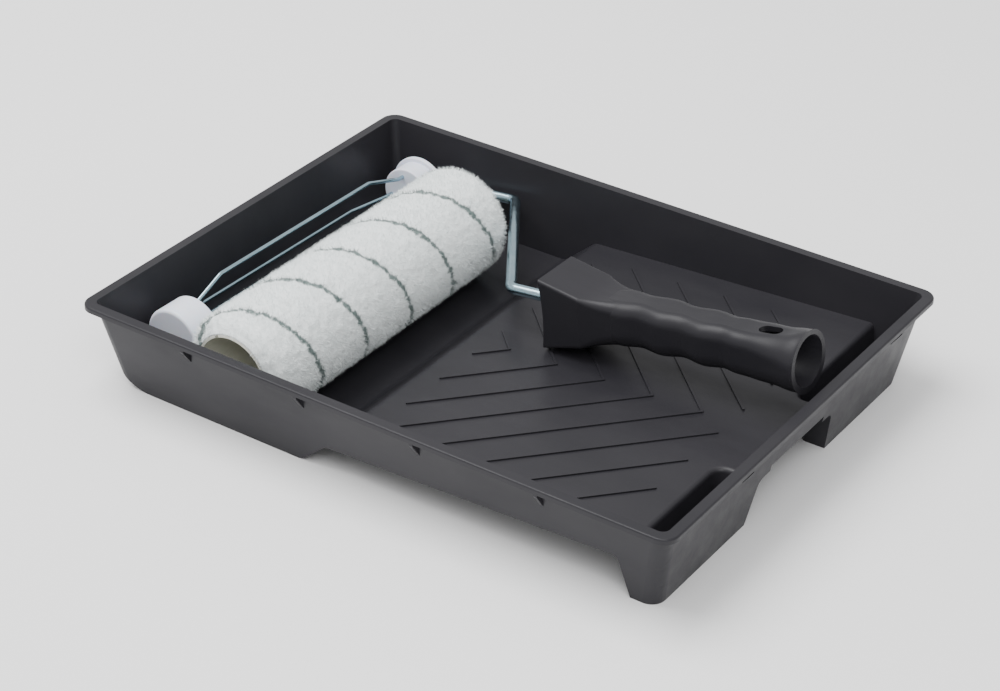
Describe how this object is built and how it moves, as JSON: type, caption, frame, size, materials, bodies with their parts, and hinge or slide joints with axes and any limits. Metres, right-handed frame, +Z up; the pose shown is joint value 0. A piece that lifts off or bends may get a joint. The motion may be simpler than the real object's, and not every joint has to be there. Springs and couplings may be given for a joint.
{
  "type": "paint roller tray set",
  "caption": "Paint roller tray with a well, ribbed ramp and hollow feet, holding a cage roller frame and a loose nap sleeve.",
  "frame": {"origin": "on the floor, at the middle of the tray's outline", "axes": "+X along the tray from the deep well to the shallow end, +Y across it to the side where the frame's arm lies, +Z up"},
  "size_m": [0.385, 0.293, 0.0839],
  "materials": {
    "black_plastic": "satin",
    "handle_plastic": "satin",
    "zinc_rod": "zinc plated",
    "zinc_wire": "zinc plated",
    "white_plastic": "satin",
    "core_tube": "matt",
    "nap": "woven nap"
  },
  "bodies": {
    "tray": {"tray_moulding": "black_plastic"},
    "roller_frame": {"frame_rod": "zinc_rod", "handle_grip": "handle_plastic", "axle_washer": "zinc_rod", "axle_push_nut": "zinc_rod"},
    "cage": {"cap_near_hub": "white_plastic", "cap_near_cover": "white_plastic", "cap_far_hub": "white_plastic", "cage_wire_1": "zinc_wire", "cage_wire_2": "zinc_wire", "cage_wire_3": "zinc_wire", "cage_wire_4": "zinc_wire"},
    "sleeve": {"sleeve_core": "core_tube", "sleeve_pile": "nap"}
  },
  "joints": [
    {"name": "frame_lift", "type": "slide", "parent": "tray", "child": "roller_frame", "axis": [0, 0, 1], "range_m": [0, 0.12]},
    {"name": "cage_spin", "type": "hinge", "parent": "roller_frame", "child": "cage", "pos_m": [-0.1535, 0.0098, 0.0252], "axis": [0.0227, 0.9997, 0], "continuous": true},
    {"name": "sleeve_lift", "type": "slide", "parent": "tray", "child": "sleeve", "axis": [0, 0, 1], "range_m": [0, 0.12]}
  ]
}
